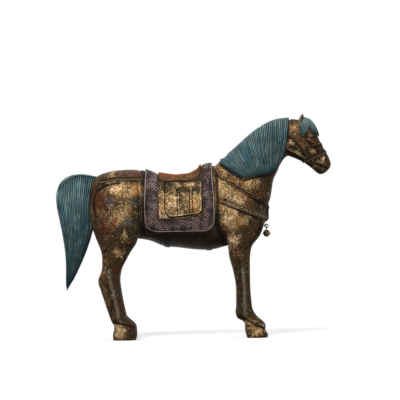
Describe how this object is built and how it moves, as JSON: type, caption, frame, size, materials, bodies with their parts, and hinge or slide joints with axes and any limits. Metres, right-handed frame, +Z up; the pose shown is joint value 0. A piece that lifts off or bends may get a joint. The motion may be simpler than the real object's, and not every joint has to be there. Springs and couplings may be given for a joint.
{
  "type": "horse statuette",
  "caption": "Standing saddled horse statuette in patinated bronze: a hollow pinned body with applied mane, tail, saddlery and bridle, and a small breast bell that swings on its link.",
  "frame": {"origin": "on the ground, under the middle of the overall box", "axes": "+X to the nose, +Y to the horse's left side, +Z up"},
  "size_m": [0.3584, 0.0921, 0.2883],
  "materials": {
    "gilt_bronze": "dark gilt patina, worn",
    "brown_bronze": "dark brown patina, worn",
    "gold_leaf": "rubbed gilding",
    "blue_pigment": "blue-green pigment rubbed on the ridges",
    "plum_lacquer": "plum lacquer with rubbed gilt lines",
    "red_lacquer": "red-brown lacquer, worn",
    "pin_metal": "filed bare metal"
  },
  "bodies": {
    "statue": {"barrel": "gilt_bronze", "neck": "gilt_bronze", "head": "gilt_bronze", "ear_right": "gilt_bronze", "ear_left": "gilt_bronze", "bell_staple": "gilt_bronze", "foreleg_right": "brown_bronze", "foreleg_left": "brown_bronze", "hindleg_right": "brown_bronze", "hindleg_left": "brown_bronze", "sweat_pad": "brown_bronze", "girth_front": "brown_bronze", "girth_rear": "brown_bronze", "belly_plug": "brown_bronze", "saddle_blanket": "gold_leaf", "saddle_flap_right": "gold_leaf", "saddle_flap_left": "gold_leaf", "breast_strap_upper": "gold_leaf", "breast_strap_lower": "gold_leaf", "crupper_strap_right": "gold_leaf", "crupper_strap_left": "gold_leaf", "headstall_crown": "gold_leaf", "tail": "blue_pigment", "mane": "blue_pigment", "forelock": "blue_pigment", "blanket_border": "plum_lacquer", "saddle_seat": "red_lacquer", "breast_pendant": "red_lacquer", "noseband": "red_lacquer", "face_band": "red_lacquer", "cheek_strap_right": "red_lacquer", "cheek_strap_left": "red_lacquer", "foreleg_pin_right": "pin_metal", "foreleg_pin_left": "pin_metal", "hindleg_pin_right": "pin_metal", "hindleg_pin_left": "pin_metal", "neck_pin_right": "pin_metal", "neck_pin_left": "pin_metal", "head_pin": "pin_metal", "tail_pin": "pin_metal", "mane_dowel_rear": "pin_metal", "mane_dowel_front": "pin_metal", "saddle_stud_rear": "pin_metal", "saddle_stud_front": "pin_metal", "saddle_nut_rear": "pin_metal", "saddle_nut_front": "pin_metal"},
    "bell_link": {"bell_link": "gilt_bronze"},
    "bell": {"bell": "gold_leaf"}
  },
  "joints": [
    {"name": "link_swing", "type": "hinge", "parent": "statue", "child": "bell_link", "pos_m": [0.0942, 0, 0.1448], "axis": [0, -1, 0], "range_deg": [-15, 70]},
    {"name": "bell_swing", "type": "hinge", "parent": "bell_link", "child": "bell", "pos_m": [0.0942, 0, 0.1417], "axis": [1, 0, 0], "range_deg": [-40, 40]}
  ]
}
